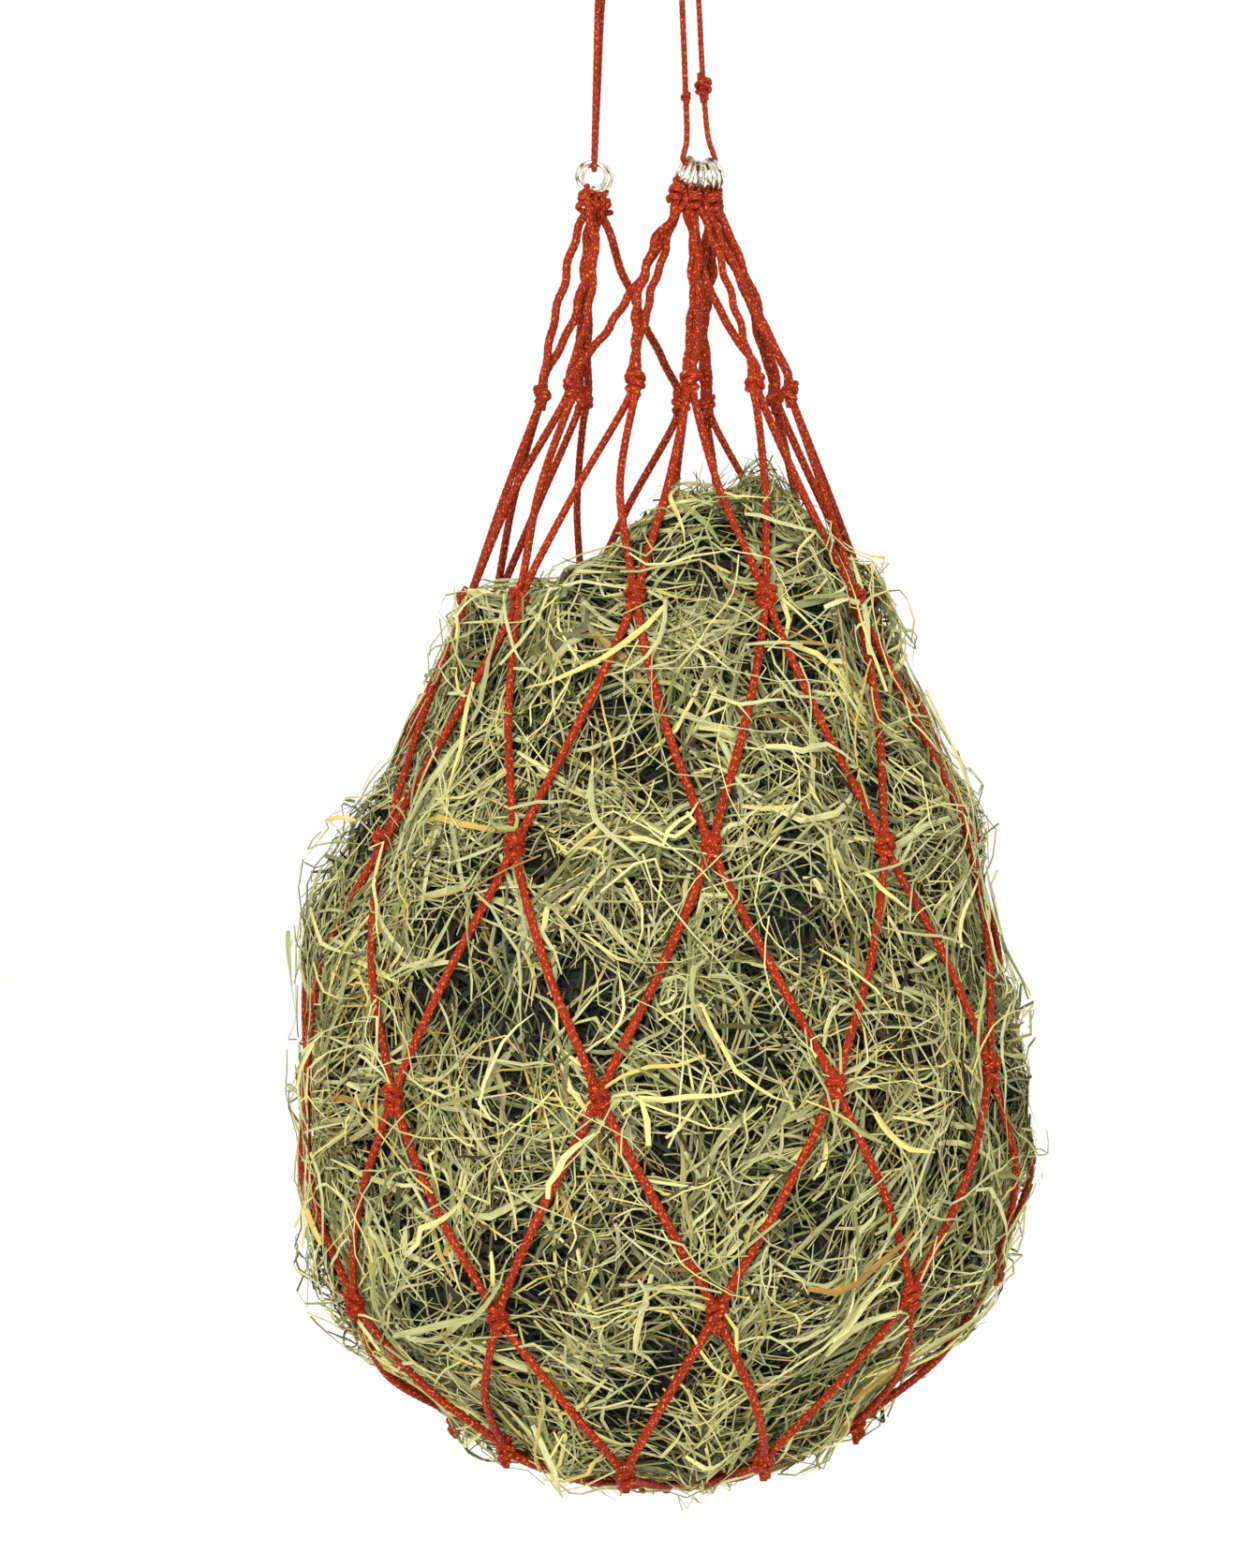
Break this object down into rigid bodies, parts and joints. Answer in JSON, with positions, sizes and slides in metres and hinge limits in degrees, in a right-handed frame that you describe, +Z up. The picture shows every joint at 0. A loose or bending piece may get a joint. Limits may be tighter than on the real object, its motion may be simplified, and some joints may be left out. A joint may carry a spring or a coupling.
{
  "type": "hay net",
  "caption": "Knotted cord hay net filled with loose hay, closed at its mouth by steel rings on a draw cord slung over a hanging ring.",
  "frame": {"origin": "inside the top of the hanging ring's bow, where the hook that carries it sits", "axes": "+Z up along the hanging net, -Y to the front, +X to the right seen from the front"},
  "size_m": [0.5456, 0.5486, 1.2084],
  "materials": {
    "hanger_steel": "zinc-plated round bar",
    "ring_steel": "bright nickel plate",
    "draw_cord": "braided polypropylene cord",
    "net_cord": "braided polypropylene cord",
    "hay": "dry meadow hay"
  },
  "bodies": {
    "hanger": {"hanging_d_ring": "hanger_steel"},
    "net": {"draw_cord": "draw_cord", "gather_cord": "net_cord", "hay_fill": "hay", "net_cord_1": "net_cord", "net_cord_2": "net_cord", "net_cord_3": "net_cord", "net_cord_4": "net_cord", "net_cord_5": "net_cord", "net_cord_6": "net_cord", "net_cord_7": "net_cord", "net_cord_8": "net_cord", "net_cord_9": "net_cord", "net_cord_10": "net_cord", "net_cord_11": "net_cord", "net_cord_12": "net_cord", "net_cord_13": "net_cord", "net_cord_14": "net_cord", "net_cord_15": "net_cord", "net_cord_16": "net_cord", "net_cord_17": "net_cord", "net_cord_18": "net_cord", "net_cord_19": "net_cord", "net_cord_20": "net_cord", "top_loop_1": "net_cord", "top_loop_2": "net_cord", "top_loop_3": "net_cord", "top_loop_4": "net_cord", "top_loop_5": "net_cord", "top_loop_6": "net_cord", "top_loop_7": "net_cord", "top_loop_8": "net_cord", "top_loop_9": "net_cord", "top_loop_10": "net_cord"},
    "ring_1": {"steel_ring_1": "ring_steel"},
    "ring_2": {"steel_ring_2": "ring_steel"},
    "ring_3": {"steel_ring_3": "ring_steel"},
    "ring_4": {"steel_ring_4": "ring_steel"},
    "ring_5": {"steel_ring_5": "ring_steel"},
    "ring_6": {"steel_ring_6": "ring_steel"},
    "ring_7": {"steel_ring_7": "ring_steel"},
    "ring_8": {"steel_ring_8": "ring_steel"},
    "ring_9": {"steel_ring_9": "ring_steel"},
    "ring_10": {"steel_ring_10": "ring_steel"}
  },
  "joints": [
    {"name": "net_swing", "type": "hinge", "parent": "hanger", "child": "net", "pos_m": [0, 0, -0.0485], "axis": [1, 0, 0], "range_deg": [-30, 30]},
    {"name": "ring_1_swing", "type": "hinge", "parent": "net", "child": "ring_1", "pos_m": [0.01714, -0.00524, -0.21587], "axis": [0.8369, 0.3381, -0.4305], "range_deg": [-12, 12], "deforming": ["top_loop_1"]},
    {"name": "ring_2_swing", "type": "hinge", "parent": "net", "child": "ring_2", "pos_m": [0.02018, -0.00363, -0.21786], "axis": [0.8736, 0.389, -0.2924], "range_deg": [-12, 12], "deforming": ["top_loop_2"]},
    {"name": "ring_3_swing", "type": "hinge", "parent": "net", "child": "ring_3", "pos_m": [0.02351, -0.00186, -0.21909], "axis": [0.8889, 0.4336, -0.1478], "range_deg": [-12, 12], "deforming": ["top_loop_3"]},
    {"name": "ring_4_swing", "type": "hinge", "parent": "net", "child": "ring_4", "pos_m": [0.027, 0, -0.2195], "axis": [0.8829, 0.4695, 0], "range_deg": [-12, 12], "deforming": ["top_loop_4"]},
    {"name": "ring_5_swing", "type": "hinge", "parent": "net", "child": "ring_5", "pos_m": [0.03049, 0.00186, -0.21909], "axis": [0.8565, 0.4945, 0.1478], "range_deg": [-12, 12], "deforming": ["top_loop_5"]},
    {"name": "ring_6_swing", "type": "hinge", "parent": "net", "child": "ring_6", "pos_m": [0.03382, 0.00363, -0.21786], "axis": [0.811, 0.5068, 0.2924], "range_deg": [-12, 12], "deforming": ["top_loop_6"]},
    {"name": "ring_7_swing", "type": "hinge", "parent": "net", "child": "ring_7", "pos_m": [0.03686, 0.00524, -0.21587], "axis": [0.7483, 0.5047, 0.4305], "range_deg": [-12, 12], "deforming": ["top_loop_7"]},
    {"name": "ring_8_swing", "type": "hinge", "parent": "net", "child": "ring_8", "pos_m": [-0.0515, 0.00458, -0.21956], "axis": [0, -0.9877, -0.1564], "range_deg": [-12, 12], "deforming": ["top_loop_8"]},
    {"name": "ring_9_swing", "type": "hinge", "parent": "net", "child": "ring_9", "pos_m": [-0.0515, 0, -0.22], "axis": [0, -1, 0], "range_deg": [-12, 12], "deforming": ["top_loop_9"]},
    {"name": "ring_10_swing", "type": "hinge", "parent": "net", "child": "ring_10", "pos_m": [-0.0515, -0.00458, -0.21956], "axis": [0, -0.9877, 0.1564], "range_deg": [-12, 12], "deforming": ["top_loop_10"]}
  ]
}
